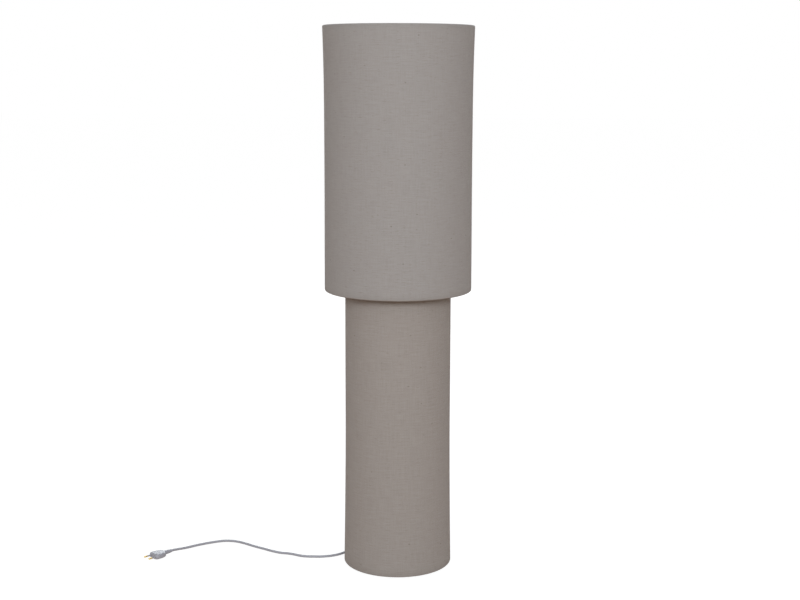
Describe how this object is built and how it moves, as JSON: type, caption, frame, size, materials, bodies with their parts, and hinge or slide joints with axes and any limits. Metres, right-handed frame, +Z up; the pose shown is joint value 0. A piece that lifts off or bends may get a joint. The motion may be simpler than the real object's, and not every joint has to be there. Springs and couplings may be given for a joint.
{
  "type": "column floor lamp",
  "caption": "Upright floor lamp: a linen-covered column on a steel base, with a wider linen drum shade round its top, and a cord with a foot switch and a flat plug.",
  "frame": {"origin": "on the floor, at the centre of the column's base", "axes": "+Z up along the column's axis; the front of the lamp, as pictured, towards -Y; the visible end of the cord lies towards -X"},
  "size_m": [0.7931, 0.4221, 1.28],
  "materials": {
    "linen": "warm grey linen, plain weave, matt",
    "liner": "stiff white film",
    "bare_steel": "zinc plated",
    "white_wire": "white powder coat",
    "base_paint": "white powder coat",
    "felt": "pressed felt",
    "dark_plastic": "moulded",
    "holder_plastic": "moulded, semi gloss",
    "cord_plastic": "soft PVC, satin",
    "switch_plastic": "moulded, satin",
    "porcelain": "glazed",
    "brass": "plated",
    "bulb_plastic": "satin",
    "frosted": "frosted"
  },
  "bodies": {
    "lamp": {"base_plate": "base_paint", "base_pads": "felt", "base_washer": "bare_steel", "base_nut": "bare_steel", "base_nipple": "bare_steel", "centre_tube": "white_wire", "top_nipple": "bare_steel", "column_nut": "bare_steel", "column_bottom_ring": "white_wire", "column_spider": "white_wire", "column_liner": "liner", "column_fabric": "linen", "cord_grip": "dark_plastic", "cord_grip_bar": "dark_plastic", "cord_grip_screws": "bare_steel", "wall_grommet": "cord_plastic", "inner_cord": "cord_plastic", "holder_cap": "holder_plastic", "holder_skirt": "holder_plastic", "holder_insert": "porcelain", "holder_thread_shell": "brass", "holder_contact": "brass", "lower_shade_nut": "holder_plastic", "upper_shade_nut": "holder_plastic", "bulb_cap": "bare_steel", "bulb_body": "bulb_plastic", "bulb_globe": "frosted", "shade_carrier": "white_wire", "shade_top_ring": "white_wire", "shade_liner": "liner", "shade_fabric": "linen", "switch_base": "switch_plastic", "switch_cover": "switch_plastic", "switch_spring": "bare_steel", "switch_contacts": "brass", "switch_screws": "bare_steel", "cord_lead": "cord_plastic", "cord_coil": "cord_plastic", "cord_link": "cord_plastic", "cord_tail": "cord_plastic", "cord_tie": "liner", "plug_body": "cord_plastic", "plug_pins": "brass"},
    "button": {"switch_button": "switch_plastic"}
  },
  "joints": [
    {"name": "button_press", "type": "slide", "parent": "lamp", "child": "button", "axis": [0, 0, -1], "range_m": [0, 0.003], "stiffness_N_per_m": 800, "springref_m": -0.002, "deforming": ["switch_spring"]}
  ]
}
